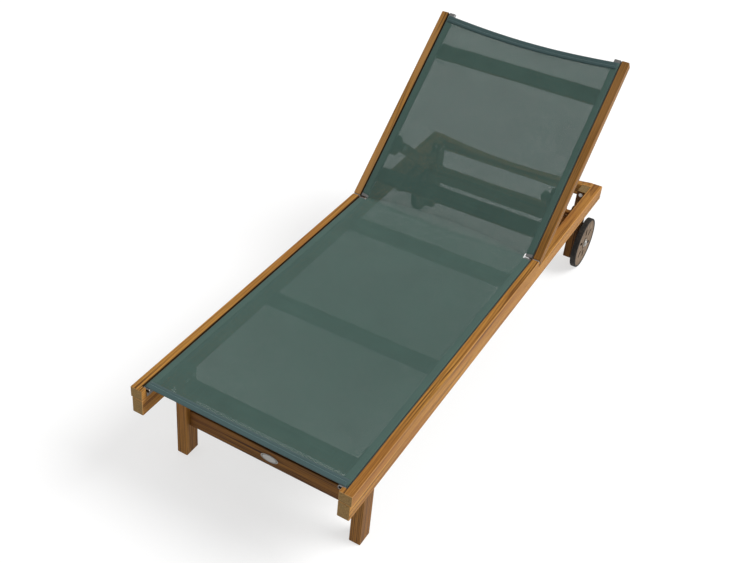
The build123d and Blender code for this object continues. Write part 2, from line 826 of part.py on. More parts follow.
os.makedirs("parts", exist_ok=True)
for name, solid in nodes.items():
    export_step(solid, f"parts/{name}.step")
print(len(nodes), "nodes")
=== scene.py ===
"""Looks of a reclining sun lounger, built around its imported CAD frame: one stretched mesh sling with its
hems and stitches, oiled timber with end grain, tracks, fittings, wheels, and a plain studio."""

import json
import math

import bmesh
import bpy
from mathutils import Euler, Matrix, Vector


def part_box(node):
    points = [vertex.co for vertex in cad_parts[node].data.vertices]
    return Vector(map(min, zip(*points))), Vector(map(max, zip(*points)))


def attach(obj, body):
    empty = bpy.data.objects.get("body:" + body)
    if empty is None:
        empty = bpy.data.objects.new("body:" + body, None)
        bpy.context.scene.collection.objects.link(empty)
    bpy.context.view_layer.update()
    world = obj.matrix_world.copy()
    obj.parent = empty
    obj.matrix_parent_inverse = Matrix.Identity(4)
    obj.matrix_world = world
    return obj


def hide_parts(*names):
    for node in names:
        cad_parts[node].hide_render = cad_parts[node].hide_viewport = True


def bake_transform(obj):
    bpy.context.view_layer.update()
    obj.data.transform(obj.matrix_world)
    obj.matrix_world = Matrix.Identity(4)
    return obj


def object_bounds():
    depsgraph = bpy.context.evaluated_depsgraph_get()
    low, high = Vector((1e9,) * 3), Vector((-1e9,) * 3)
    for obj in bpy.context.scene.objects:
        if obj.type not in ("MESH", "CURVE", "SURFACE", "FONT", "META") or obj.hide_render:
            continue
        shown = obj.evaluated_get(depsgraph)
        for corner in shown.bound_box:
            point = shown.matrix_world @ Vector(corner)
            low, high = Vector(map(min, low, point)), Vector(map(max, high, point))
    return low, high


bl_info = {
    "name": "Sun lounger looks",
    "version": (1, 0, 0),
    "blender": (4, 5, 0),
    "location": "3D View > Sidebar > Lounger",
    "description": "Builds the sling, the finishes and the studio of a reclining sun lounger",
    "category": "Object",
}

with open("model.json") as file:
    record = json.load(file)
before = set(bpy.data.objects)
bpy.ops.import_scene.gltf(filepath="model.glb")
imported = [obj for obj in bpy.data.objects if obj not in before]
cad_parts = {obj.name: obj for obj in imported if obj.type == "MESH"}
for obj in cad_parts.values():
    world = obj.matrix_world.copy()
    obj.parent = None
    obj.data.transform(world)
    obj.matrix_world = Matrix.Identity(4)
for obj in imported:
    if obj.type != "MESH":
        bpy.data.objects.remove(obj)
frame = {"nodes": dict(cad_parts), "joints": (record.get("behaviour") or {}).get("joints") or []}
NODES = frame["nodes"]
JOINTS = {joint["name"]: joint for joint in frame["joints"]}
CAD_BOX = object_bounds()


# ---- Places read from the frame ------------------------------------------------------------

HINGE = Vector(JOINTS["backrest_hinge"]["pos_m"])
PIVOT = Vector(JOINTS["prop_hinge"]["pos_m"])
BACK_ANGLE = -math.radians(JOINTS["backrest_hinge"]["range_deg"][0])
ALONG_BACK = Vector((0, math.cos(BACK_ANGLE), math.sin(BACK_ANGLE)))
OUT_OF_BACK = Vector((0, -math.sin(BACK_ANGLE), math.cos(BACK_ANGLE)))


def middle(node):
    low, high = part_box(node)
    return (low + high) / 2


def farthest_along_back(node):
    """How far a backrest node reaches from the hinge line, measured along the backrest."""
    points = (vertex.co for vertex in NODES[node].data.vertices)
    return max((point - HINGE).dot(ALONG_BACK) for point in points)


ALONG_PROP = (middle("prop_bar") - PIVOT).normalized()
ALONG_PROP.x = 0
SLING_LOW, SLING_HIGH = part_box("sling_seat")
SLING_HALF_WIDTH = SLING_HIGH.x
SLING_FOOT = SLING_LOW.y
SLING_HEIGHT = SLING_LOW.z
SLING_TOP = farthest_along_back("sling_back")
TRACK_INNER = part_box("seat_track_right")[0].x
TRACK_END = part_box("seat_track_right")[1].y
# The hinge leaves start this far past the wall of the step that holds the tracks
LEAF_TO_WALL = 0.0005
STEP_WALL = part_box("hinge_seat_leaf_right")[0].x - LEAF_TO_WALL


# ---- Shader maths --------------------------------------------------------------------------


class Wire:
    """A socket that takes part in Python expressions. Each operation adds one Math node."""

    def __init__(self, graph, socket):
        self.graph = graph
        self.socket = socket

    def math(self, operation, *others, clamp=False):
        values = {0: self}
        for place, other in enumerate(others, 1):
            values[place] = other
        settings = {"operation": operation, "use_clamp": clamp}
        return self.graph.node("ShaderNodeMath", settings, values)

    def __add__(self, other):
        return self.math("ADD", other)

    def __radd__(self, other):
        return self.math("ADD", other)

    def __sub__(self, other):
        return self.math("SUBTRACT", other)

    def __rsub__(self, other):
        flipped = self.math("MULTIPLY", -1.0)
        return flipped.math("ADD", other)

    def __mul__(self, other):
        return self.math("MULTIPLY", other)

    def __rmul__(self, other):
        return self.math("MULTIPLY", other)

    def __truediv__(self, other):
        return self.math("DIVIDE", other)

    def __pow__(self, other):
        return self.math("POWER", other)

    def over(self, limit):
        return self.math("GREATER_THAN", limit)

    def smooth(self, low, high):
        """0 below low, 1 above high, and a smooth step between."""
        settings = {"interpolation_type": "SMOOTHSTEP"}
        return self.graph.node("ShaderNodeMapRange", settings, {0: self, 1: low, 2: high, 3: 0.0, 4: 1.0})


class Graph:
    """One material's node tree, with its Principled shader already in place."""

    def __init__(self, name, **finish):
        self.material = bpy.data.materials.new(name)
        self.material.use_nodes = True
        self.tree = self.material.node_tree
        self.shader = self.tree.nodes["Principled BSDF"]
        self.feed(**finish)

    def node(self, kind, settings=None, values=None, output=0):
        """Adds a node, sets its settings, then its sockets, and returns one output as a Wire."""
        made = self.tree.nodes.new(kind)
        for key, value in (settings or {}).items():
            setattr(made, key, value)
        for place, value in (values or {}).items():
            self.plug(made.inputs[place], value)
        return Wire(self, made.outputs[output])

    def plug(self, socket, value):
        if isinstance(value, Wire):
            self.tree.links.new(value.socket, socket)
        else:
            socket.default_value = value

    def feed(self, **finish):
        for key, value in finish.items():
            self.plug(self.shader.inputs[key.replace("_", " ")], value)

    def mix(self, share, first, second, blend="MIX"):
        """A mix of two colours. Its sockets 0, 6 and 7 are the factor and the two colours."""
        settings = {"data_type": "RGBA", "blend_type": blend}
        return self.node("ShaderNodeMix", settings, {0: share, 6: first, 7: second}, output=2)

    def noise(self, vector, scale, detail=2.0, roughness=0.5):
        values = {"Vector": vector, "Scale": scale, "Detail": detail, "Roughness": roughness}
        return self.node("ShaderNodeTexNoise", {"noise_dimensions": "3D"}, values)

    def bump(self, height, distance, strength):
        values = {"Height": height, "Distance": distance, "Strength": strength}
        return self.node("ShaderNodeBump", {}, values)

    def place(self):
        return self.node("ShaderNodeTexCoord", output="Object")

    def facing(self):
        return self.node("ShaderNodeTexCoord", output="Normal")

    def turned(self, vector, turn, shift=(0, 0, 0)):
        """vector turned by Euler angles, then moved along the new axes."""
        settings = {"vector_type": "POINT"}
        spun = self.node("ShaderNodeMapping", settings, {"Vector": vector, "Rotation": turn})
        return self.node("ShaderNodeMapping", settings, {"Vector": spun, "Location": shift})

    def length(self, vector):
        return self.node("ShaderNodeVectorMath", {"operation": "LENGTH"}, {0: vector}, output="Value")

    def parts(self, vector):
        """The three parts of a vector, as three wires from one node."""
        made = self.node("ShaderNodeSeparateXYZ", values={0: vector})
        outputs = made.socket.node.outputs
        return [Wire(self, outputs[i]) for i in range(3)]

    def joined(self, x, y, z):
        return self.node("ShaderNodeCombineXYZ", values={0: x, 1: y, 2: z})


def rgba(red, green, blue):
    return (red, green, blue, 1.0)


WHITE = rgba(1.0, 1.0, 1.0)


def toned(values, tone):
    """A colour times tone, which acts a little more on green and blue. Below 1 it darkens."""
    return rgba(values[0] * tone, values[1] * tone**1.15, values[2] * tone**1.5)


def dress(nodes, material):
    """Gives CAD nodes a material in their object's own slots, and leaves their meshes as they are."""
    for name in nodes:
        piece = NODES[name]
        if not piece.material_slots:
            piece.data.materials.append(material)
        for slot in piece.material_slots:
            slot.link = "OBJECT"
            slot.material = material


def settings_of(context):
    return context.scene.lounger_sizes, context.scene.lounger_colours


# ---- Timber --------------------------------------------------------------------------------

ACROSS_FRAME = Vector((1, 0, 0))
ALONG_FRAME = Vector((0, 1, 0))
UPRIGHT = Vector((0, 0, 1))

# Boards of a tone below the first value have their streaks strengthened by the second
DARK_TONE = 0.5
DARK_STREAKS = 1.5
RING_WIDTH = 0.0042
RING_WANDER = 0.030
END_GRAIN_PALE = (0.37, 0.255, 0.105)
END_GRAIN_DARK = (0.150, 0.092, 0.034)
END_GRAIN_RING = (0.11, 0.062, 0.022)
GROOVE_SHADE = (0.016, 0.010, 0.006)

# The way each board's grain runs, and its tone: below 1 is darker than the timber's colours,
# and above 1 is lighter. The tones hold painted light and shade: boards in shade, such as the
# rear legs, the slats and the foot and rear rails, are darker, lit boards such as the head rail
# are lighter, and mirror-image boards such as the back rails differ where one is lit and one shaded
BOARDS = {
    "seat_rail_left": (ALONG_FRAME, 1.03),
    "seat_rail_right": (ALONG_FRAME, 1.03),
    "lower_rail_left": (ALONG_FRAME, 1.12),
    "lower_rail_right": (ALONG_FRAME, 1.12),
    "ratchet_strip_left": (ALONG_FRAME, 0.60),
    "ratchet_strip_right": (ALONG_FRAME, 0.60),
    "foot_leg_left": (UPRIGHT, 0.70),
    "foot_leg_right": (UPRIGHT, 0.62),
    "rear_leg_left": (UPRIGHT, 0.45),
    "rear_leg_right": (UPRIGHT, 0.40),
    "foot_rail": (ACROSS_FRAME, 0.48),
    "rear_rail": (ACROSS_FRAME, 0.45),
    "head_rail": (ACROSS_FRAME, 1.15),
    "foot_slat": (ACROSS_FRAME, 0.40),
    "middle_slat": (ACROSS_FRAME, 0.60),
    "hinge_slat": (ACROSS_FRAME, 0.60),
    "back_low_bar": (ACROSS_FRAME, 0.70),
    "back_top_bar": (ACROSS_FRAME, 0.70),
    "back_rail_left": (ALONG_BACK, 0.85),
    "back_rail_right": (ALONG_BACK, 0.62),
    "pivot_block_left": (ALONG_BACK, 0.65),
    "pivot_block_right": (ALONG_BACK, 0.65),
    "prop_arm_left": (ALONG_PROP, 0.80),
    "prop_arm_right": (ALONG_PROP, 0.75),
    "prop_bar": (ACROSS_FRAME, 0.75),
}


def groove_shade_mask(graph, end_grain):
    """1 on the wall of the step that holds a sling track, and on the thin line above it: where the shade in
    the groove beside the sling is painted.
    """
    across = graph.parts(graph.place())[0].math("ABSOLUTE")
    near = 1 - (across - STEP_WALL).math("ABSOLUTE").smooth(0.0008, 0.0014)
    faces_up = graph.parts(graph.facing())[2].smooth(-0.4, -0.1)
    return near * faces_up * (1 - end_grain)


def timber_material(name, grain, seed, light, dark, streaks):
    """Oiled teak cut as one solid: growth rings round a pith line, fibres, pores, and end grain."""
    graph = Graph("Teak_" + name, Specular_IOR_Level=0.12)
    turn = grain.rotation_difference(Vector((1, 0, 0))).to_euler()
    centre = middle(name)
    centre.rotate(turn)
    shift = (seed * 0.731, -centre.y, -centre.z)
    solid = graph.turned(graph.place(), turn, shift=shift)
    along, across, deep = graph.parts(solid)

    # Growth rings are circles round the pith, which lies outside the board and wanders along it
    pith_across = 0.045 * math.sin(seed * 2.4) + 0.01
    pith_deep = -0.060 - 0.025 * math.cos(seed * 1.7)
    wander = graph.noise(graph.joined(along * 1.3, across * 6.0, deep * 6.0), 1.0, 2.0)
    ring_place = graph.joined(0.0, across - pith_across, deep - pith_deep)
    ring = ((graph.length(ring_place) + wander * RING_WANDER) / RING_WIDTH).math("FRACT")
    late_wood = ring.smooth(0.35, 0.95) * (1 - ring.smooth(0.95, 1.0))

    figure = graph.noise(graph.joined(along * 1.1, across * 55.0, deep * 55.0), 1.0, 3.0, 0.6)
    fibres = graph.noise(graph.joined(along * 22.0, across * 900.0, deep * 900.0), 1.0, 3.0, 0.6)
    pores = graph.noise(graph.joined(along * 55.0, across * 2100.0, deep * 2100.0), 1.0, 1.0)
    pore_mask = pores.smooth(0.60, 0.70)
    patches = graph.noise(graph.joined(along * 2.4, across * 9.0, deep * 9.0), 1.0, 2.0)

    facing = graph.turned(graph.facing(), turn)
    out_along, out_across, out_deep = (part.math("ABSOLUTE") for part in graph.parts(facing))
    end_grain = out_along.smooth(0.70, 0.92)
    flattest = out_along.math("MAXIMUM", out_across).math("MAXIMUM", out_deep)
    arris = 1 - flattest.smooth(0.86, 0.995)

    streak = figure.smooth(0.50, 0.70)
    lines = graph.noise(graph.joined(along * 2.2, across * 230.0, deep * 230.0), 1.0, 3.0, 0.6)
    streak = streak * 0.55 + lines.smooth(0.50, 0.64) * 0.75
    shade = late_wood * 0.42 + streak * streaks + (fibres - 0.5) * 0.7 + pore_mask * 0.35
    shade = shade + (patches - 0.5) * 0.7
    face = graph.mix(shade.math("ADD", 0.10, clamp=True), light, dark)
    red = rgba(light[0] * 0.70, light[1] * 0.56, light[2] * 0.55)
    reddened = graph.mix(patches.smooth(0.40, 0.70) * 0.45, face, red)
    specks = graph.noise(solid, 620.0, 3.0, 0.75)
    cut = graph.mix(specks.smooth(0.35, 0.65), rgba(*END_GRAIN_PALE), rgba(*END_GRAIN_DARK))
    cut = graph.mix(late_wood * 0.65, cut, rgba(*END_GRAIN_RING))
    body = graph.mix(end_grain * 0.88, reddened, cut)
    # Pale rounded edges in patches: partly wear, and partly a painted highlight where the edges catch the
    # light
    pale = rgba(light[0] * 1.25, light[1] * 1.45, light[2] * 2.6)
    worn_with_painted_light = graph.mix(arris * 0.55 * patches.smooth(0.25, 0.6), body, pale)
    # Painted shade: the groove between the sling and the rail is painted near black
    if name.startswith(("seat_rail", "back_rail")):
        worn_with_painted_light = graph.mix(groove_shade_mask(graph, end_grain) * 0.9, worn_with_painted_light, rgba(*GROOVE_SHADE))

    relief = fibres * 0.5 - pore_mask * 0.6 + late_wood * 0.25
    roughness = 0.50 + fibres * 0.16 + end_grain * 0.22 - late_wood * 0.06
    graph.feed(Base_Color=worn_with_painted_light, Roughness=roughness, Normal=graph.bump(relief, 0.00022, 0.8))
    return graph.material


class LOUNGER_OT_timber(bpy.types.Operator):
    """Gives each timber its own board of oiled teak, cut along the timber"""

    bl_idname = "lounger.timber"
    bl_label = "Timber"

    def execute(self, context):
        sizes, colours = settings_of(context)
        for seed, (name, (grain, tone)) in enumerate(BOARDS.items(), 1):
            # The board's tone paints in part of the light and shade that falls on it
            light = toned(colours.timber_light, tone)
            dark = toned(colours.timber_dark, tone)
            streaks = sizes.streaks * (DARK_STREAKS if tone < DARK_TONE else 1.0)
            dress([name], timber_material(name, grain, seed, light, dark, streaks))
        return {"FINISHED"}


# ---- Wheels --------------------------------------------------------------------------------


def wheel_wood_material(side, dark):
    """Weathered plywood-like disc: grain in one direction, with painted shade on the rim beside the tyre,
    round the hub and on the walls of the slots.
    """
    name = "wheel_disc_" + side
    graph = Graph("Wheel_wood_" + side, Specular_IOR_Level=0.30)
    hub = middle(name)
    solid = graph.turned(graph.place(), Euler((0, 0, 0)), shift=(-hub.x, -hub.y, -hub.z))
    thick, across, along = graph.parts(solid)
    fibres = graph.noise(graph.joined(thick * 500.0, across * 420.0, along * 14.0), 1.0, 3.0, 0.6)
    figure = graph.noise(graph.joined(thick * 30.0, across * 48.0, along * 3.0), 1.0, 3.0, 0.6)
    radius = graph.length(graph.joined(0.0, across, along))
    rim = radius.smooth(0.070, 0.089)
    hub_shade = 1 - radius.smooth(0.020, 0.034)
    shade = (fibres - 0.5) * 0.8 + figure.smooth(0.42, 0.70) * 0.7
    face = graph.mix(shade.math("ADD", 0.15, clamp=True), rgba(0.235, 0.160, 0.098), dark)
    # Painted shade: the disc is darkened towards its rim beside the tyre and in a ring round the hub
    face = graph.mix(rim * 0.35 + hub_shade * 0.25, face, rgba(0.060, 0.042, 0.028))
    # Painted shade: the walls of the slots, and any face not facing along the axle, are painted near black
    slot_wall_shade = 1 - graph.parts(graph.facing())[0].math("ABSOLUTE").smooth(0.3, 0.7)
    face = graph.mix(slot_wall_shade * 0.85, face, rgba(0.012, 0.009, 0.007))
    relief = fibres * 0.6 + figure * 0.3
    graph.feed(Base_Color=face, Roughness=0.62 + fibres * 0.2, Normal=graph.bump(relief, 0.0003, 0.8))
    return graph.material


def tyre_material():
    """Matt black rubber with a dusty tread that shows wear."""
    graph = Graph("Tyre_rubber", Specular_IOR_Level=0.30)
    place = graph.place()
    grit = graph.noise(place, 900.0, 3.0, 0.6)
    dust = graph.noise(place, 60.0, 3.0, 0.6)
    outward = graph.parts(graph.facing())[0].math("ABSOLUTE")
    tread = 1 - outward.smooth(0.2, 0.7)
    dusty = dust.smooth(0.42, 0.75) * tread * 0.6
    colour = graph.mix(dusty, rgba(0.014, 0.013, 0.012), rgba(0.060, 0.050, 0.040))
    graph.feed(Base_Color=colour, Roughness=0.72 + grit * 0.2, Normal=graph.bump(grit, 0.0002, 0.6))
    return graph.material


def nylon_material():
    """Pale nylon, slightly mottled."""
    graph = Graph("Nylon_bush")
    place = graph.place()
    mottle = graph.noise(place, 70.0, 3.0, 0.5)
    grain = graph.noise(place, 1800.0, 2.0, 0.5)
    colour = graph.mix(mottle.smooth(0.4, 0.7) * 0.5, rgba(0.62, 0.60, 0.54), rgba(0.44, 0.41, 0.35))
    graph.feed(Base_Color=colour, Roughness=0.42 + grain * 0.12, Normal=graph.bump(grain, 0.00005, 0.4))
    return graph.material


class LOUNGER_OT_wheels(bpy.types.Operator):
    """Finishes the wooden discs, the rubber tyres and the nylon bushes"""

    bl_idname = "lounger.wheels"
    bl_label = "Wheels"

    def execute(self, context):
        colours = context.scene.lounger_colours
        for side in ("left", "right"):
            dark = rgba(*colours.wheel_dark)
            dress(["wheel_disc_" + side], wheel_wood_material(side, dark))
        dress(["wheel_tyre_left", "wheel_tyre_right"], tyre_material())
        dress(["wheel_bush_left", "wheel_bush_right"], nylon_material())
        return {"FINISHED"}


# ---- Metal and fittings --------------------------------------------------------------------


def drawn_metal(name, colour, roughness, grain, scale):
    """Metal with fine lines along the way it was drawn, faint stains and small scratches."""
    graph = Graph(name, Metallic=1.0)
    turn = grain.rotation_difference(Vector((1, 0, 0))).to_euler()
    along, across, deep = graph.parts(graph.turned(graph.place(), turn))
    lines = graph.noise(graph.joined(along * scale * 0.02, across * scale, deep * scale), 1.0, 3.0, 0.6)
    stains = graph.noise(graph.place(), 45.0, 3.0, 0.6)
    dull = rgba(colour[0] * 0.62, colour[1] * 0.60, colour[2] * 0.57)
    face = graph.mix(stains.smooth(0.45, 0.75) * 0.55, colour, dull)
    rough = roughness + (lines - 0.5) * 0.18 + stains.smooth(0.45, 0.7) * 0.12
    graph.feed(Base_Color=face, Roughness=rough, Normal=graph.bump(lines, 0.00004, 0.5))
    return graph.material


def badge_material():
    """A blank satin plate: fine cross brushing and a darker, slightly raised border."""
    graph = Graph("Badge_plate", Metallic=1.0)
    centre = middle("badge_plate")
    low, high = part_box("badge_plate")
    place = graph.turned(graph.place(), Euler((0, 0, 0)), shift=(-centre.x, -centre.y, -centre.z))
    across, thick, up = graph.parts(place)
    wide = (high.x - low.x) / 2
    tall = (high.z - low.z) / 2
    oval = ((across / wide) ** 2.0 + (up / tall) ** 2.0).math("SQRT")
    border = oval.smooth(0.76, 0.80) * (1 - oval.smooth(0.88, 0.92))
    lines = graph.noise(graph.joined(across * 60.0, thick * 900.0, up * 4200.0), 1.0, 2.0)
    face = graph.mix(border, rgba(0.40, 0.39, 0.37), rgba(0.13, 0.125, 0.12))
    height = lines * 0.2 - border * 1.0
    graph.feed(Base_Color=face, Roughness=0.34 + lines * 0.14, Normal=graph.bump(height, 0.00025, 0.7))
    return graph.material


def cord_material():
    """The dark plastic cord inside the sling's side pockets."""
    graph = Graph("Spline_cord")
    grain = graph.noise(graph.place(), 800.0, 2.0)
    colour = graph.mix(grain, rgba(0.030, 0.034, 0.032), rgba(0.055, 0.060, 0.056))
    graph.feed(Base_Color=colour, Roughness=0.5 + grain * 0.15, Normal=graph.bump(grain, 0.00008, 0.5))
    return graph.material


class LOUNGER_OT_fittings(bpy.types.Operator):
    """Finishes the tracks, the hinges, the bolts, the axle and the blank badge"""

    bl_idname = "lounger.fittings"
    bl_label = "Tracks and fittings"

    def execute(self, context):
        track = rgba(0.27, 0.27, 0.265)
        steel = rgba(0.55, 0.54, 0.52)
        seat_tracks = ["seat_track_left", "seat_track_right"]
        back_tracks = ["back_track_left", "back_track_right"]
        dress(seat_tracks, drawn_metal("Track_seat", track, 0.48, ALONG_FRAME, 2600.0))
        dress(back_tracks, drawn_metal("Track_back", track, 0.48, ALONG_BACK, 2600.0))
        hinges = [name for name in NODES if name.startswith("hinge_") and name != "hinge_slat"]
        dark_steel = rgba(0.42, 0.41, 0.395)
        dress(hinges, drawn_metal("Hinge_steel", dark_steel, 0.40, ACROSS_FRAME, 1800.0))
        bolts = [name for name in NODES if name.endswith(("bolts", "screws")) and name not in hinges]
        bolts.append("pivot_washers")
        dress(bolts, drawn_metal("Bolt_steel", steel, 0.36, ACROSS_FRAME, 1500.0))
        axle = [name for name in NODES if name.startswith("axle")]
        axle_steel = rgba(0.40, 0.39, 0.37)
        dress(axle, drawn_metal("Axle_steel", axle_steel, 0.42, ACROSS_FRAME, 1500.0))
        dress(["badge_plate"], badge_material())
        dress(["seat_splines", "back_splines"], cord_material())
        return {"FINISHED"}


# ---- Sling ---------------------------------------------------------------------------------

# Attributes of the cloth's meshes: a point's distance from the middle, and its run
ACROSS = "sling_across"
ALONG = "sling_along"
BAND_EDGE = 0.001

# One stitch from end to end: place along it, lift in thread radii, and girth
STITCH = (
    (-0.5, -0.6, 0.35),
    (-0.34, 0.15, 1.0),
    (0.0, 0.45, 1.05),
    (0.34, 0.15, 1.0),
    (0.5, -0.6, 0.35),
)
STITCH_SIDES = 6
STITCH_PITCH = 1.35
STITCH_MARGIN = 0.006
STITCH_PLACE = 0.55


def ease(value, low, high):
    """0 below low, 1 above high, and a smooth step between."""
    share = min(1.0, max(0.0, (value - low) / (high - low)))
    return share * share * (3 - 2 * share)


class SlingShape:
    """The stretched sheet as a surface: share runs from -1 to 1 across it, run from the foot hem up."""

    def __init__(self, sizes):
        self.sizes = sizes
        self.seat = HINGE.y - SLING_FOOT
        self.back = SLING_TOP
        self.length = self.seat + self.back
        self.lift = SLING_HEIGHT - HINGE.z
        self.thickness = sizes.cloth_thickness

    def half_width(self, run):
        """Half the sheet's width. The sides step in past the track ends on both sides of the hinge."""
        away = abs(run - self.seat)
        reach = HINGE.y - TRACK_END + self.sizes.hinge_cut_length
        narrow = 1 - ease(away, reach * 0.75, reach)
        inner = TRACK_INNER - self.sizes.hinge_cut_gap
        return SLING_HALF_WIDTH + (inner - SLING_HALF_WIDTH) * narrow

    def run_at(self, share, run):
        """The top edge curves towards the hinge in the middle."""
        pull = ease(run, self.seat + self.back * 0.55, self.length)
        return run - self.sizes.top_edge_curve * pull * (1 - share * share)

    def sag(self, share, run):
        """How far the sheet hangs below the tracks' tops: none at the foot hem, most at the top."""
        belly = (1 - share * share) ** 1.5
        if run < self.seat:
            spread = math.sin(math.pi * min(1.0, max(0.0, run / self.seat)))
            return self.sizes.seat_sag * belly * spread
        up = (run - self.seat) / self.back
        spread = math.sin(math.pi * min(1.0, up)) * self.sizes.back_sag
        return belly * (spread + self.sizes.top_edge_sag * ease(up, 0.72, 1.0))

    def centre_line(self, run, radius):
        """A point and the outward direction on the bent path from seat to backrest."""
        reach = radius * math.tan(BACK_ANGLE / 2)
        away = run - self.seat
        up = Vector((0, 0, 1))
        if away <= -reach:
            return HINGE + Vector((0, away, self.lift)), up
        if away >= reach:
            return HINGE + ALONG_BACK * away + OUT_OF_BACK * self.lift, OUT_OF_BACK
        turn = BACK_ANGLE * (away + reach) / (2 * reach)
        centre = HINGE + Vector((0, -reach, self.lift + radius))
        out = Vector((0, -math.sin(turn), math.cos(turn)))
        return centre - out * radius, out

    def point(self, share, run):
        """A point on the sheet's lower face, and the way out of it."""
        true_run = self.run_at(share, run)
        middle_share = 1 - share * share
        radius = self.sizes.bend_radius_side + self.sizes.bend_radius_middle * middle_share
        place, out = self.centre_line(true_run, radius)
        half = self.half_width(true_run)
        drop = self.sag(share, run) + self.tuck(half * (1 - abs(share)), half)
        return place + Vector((share * half, 0, 0)) - out * drop, out

    def tuck(self, from_edge, half):
        """How far the edge turns down into a track's channel. Where the sides step in, it stays flat."""
        if half < SLING_HALF_WIDTH - 0.001 or from_edge > self.sizes.tuck_width:
            return 0.0
        share = 1 - from_edge / self.sizes.tuck_width
        return self.sizes.tuck_depth * (1 - math.sqrt(1 - share * share))


def grid_lines(start, end, step, extra=()):
    """Evenly spaced values from start to end, with the extra ones slotted in."""
    count = max(1, round((end - start) / step))
    values = {round(start + (end - start) * i / count, 6) for i in range(count + 1)}
    values.update(round(value, 6) for value in extra)
    return sorted(values)


def surface_mesh(name, shape, shares, runs, offset=0.0):
    """A sheet mesh on the sling's surface, raised by offset, with its own two lengths stored."""
    mesh = bpy.data.meshes.new(name)
    points = []
    across = []
    along = []
    for run in runs:
        for share in shares:
            place, out = shape.point(share, run)
            points.append(place + out * offset)
            across.append(share * shape.half_width(run))
            along.append(run)
    wide = len(shares)
    faces = []
    for row in range(len(runs) - 1):
        for column in range(wide - 1):
            first = row * wide + column
            faces.append((first, first + 1, first + wide + 1, first + wide))
    mesh.from_pydata(points, [], faces)
    for key, values in ((ACROSS, across), (ALONG, along)):
        attribute = mesh.attributes.new(key, "FLOAT", "POINT")
        attribute.data.foreach_set("value", values)
    mesh.polygons.foreach_set("use_smooth", [True] * len(mesh.polygons))
    return mesh


def add_piece(name, mesh, material):
    piece = bpy.data.objects.new(name, mesh)
    bpy.context.scene.collection.objects.link(piece)
    mesh.materials.append(material)
    return piece


def thicken(piece, thickness):
    """Adds an upper layer in the second material, and applies it to the sheet's mesh."""
    modifier = piece.modifiers.new("Thickness", "SOLIDIFY")
    modifier.thickness = thickness
    modifier.offset = 1.0
    modifier.use_rim = True
    modifier.material_offset = 1
    modifier.material_offset_rim = 1
    bpy.context.view_layer.update()
    evaluated = piece.evaluated_get(bpy.context.evaluated_depsgraph_get())
    mesh = bpy.data.meshes.new_from_object(evaluated)
    piece.modifiers.clear()
    piece.data = mesh


def woven_cloth(name, yarn, shade, open_share, side_band=0.0):
    """Plain weave of coated yarn. Small square holes between the yarns let light through."""
    graph = Graph(name, Specular_IOR_Level=0.25, Sheen_Weight=0.12, Sheen_Roughness=0.5)
    across = graph.node("ShaderNodeAttribute", {"attribute_name": ACROSS}, output="Fac")
    along = graph.node("ShaderNodeAttribute", {"attribute_name": ALONG}, output="Fac")
    pitch = bpy.context.scene.lounger_sizes.weave_pitch
    warp = across / pitch
    weft = along / pitch
    warp_round = (warp.math("FRACT") - 0.5).math("ABSOLUTE") * 2
    weft_round = (weft.math("FRACT") - 0.5).math("ABSOLUTE") * 2
    checker = ((warp.math("FLOOR") + weft.math("FLOOR")) / 2).math("FRACT") * 2
    warp_crown = 1 - warp_round * warp_round
    weft_crown = 1 - weft_round * weft_round
    raised = warp_crown * checker.over(0.5) + weft_crown * (1 - checker.over(0.5))
    half_gap = 1 - math.sqrt(open_share)
    hole = warp_round.over(half_gap) * weft_round.over(half_gap)

    cloudy = graph.noise(graph.joined(across * 9.0, along * 9.0, 0.0), 1.0, 3.0, 0.5)
    slubs = graph.noise(graph.joined(across * 320.0, along * 9.0, 0.0), 1.0, 2.0)
    bars = graph.noise(graph.joined(across * 7.0, along * 300.0, 4.0), 1.0, 2.0)
    # Darker between the yarn crowns: painted shade. The slubs, bars and clouds are the yarn's own tone
    tone = (slubs - 0.5) * 0.5 + (bars - 0.5) * 0.5 + (cloudy - 0.5) * 0.5 + (1 - raised) * 0.45
    face = graph.mix(tone.math("ADD", 0.15, clamp=True), yarn, shade)
    solid = 1 - hole
    if side_band > 0:
        inner = SLING_HALF_WIDTH - side_band
        edge = across.math("ABSOLUTE").smooth(inner, inner + BAND_EDGE)
        # Painted shade: the doubled side band is darkened towards the yarn's shade colour
        face = graph.mix(edge * 0.30, face, shade)
        solid = solid.math("MAXIMUM", edge)
    rough = 0.62 + (1 - raised) * 0.2
    graph.feed(Base_Color=face, Roughness=rough, Alpha=solid, Normal=graph.bump(raised, 0.00028, 0.7))
    return graph.material


def thread_material():
    """Twisted sewing thread, a little lighter than the cloth."""
    graph = Graph("Sewing_thread", Specular_IOR_Level=0.3)
    twist = graph.noise(graph.place(), 3200.0, 2.0, 0.6)
    colour = graph.mix(twist, rgba(0.18, 0.29, 0.28), rgba(0.30, 0.42, 0.40))
    graph.feed(Base_Color=colour, Roughness=0.55, Normal=graph.bump(twist, 0.0001, 0.6))
    return graph.material


def finished_mesh(name, mesh):
    """Turns a bmesh into a smooth mesh with its faces outwards, and frees it."""
    bmesh.ops.recalc_face_normals(mesh, faces=mesh.faces)
    made = bpy.data.meshes.new(name)
    mesh.to_mesh(made)
    mesh.free()
    made.polygons.foreach_set("use_smooth", [True] * len(made.polygons))
    return made


def skin(mesh, rings):
    """Joins closed rings of vertices into a tube, with a face over each end."""
    count = len(rings[0])
    for first, second in zip(rings, rings[1:]):
        for i in range(count):
            j = (i + 1) % count
            mesh.faces.new((first[i], first[j], second[j], second[i]))
    mesh.faces.new(rings[0])
    mesh.faces.new(reversed(rings[-1]))


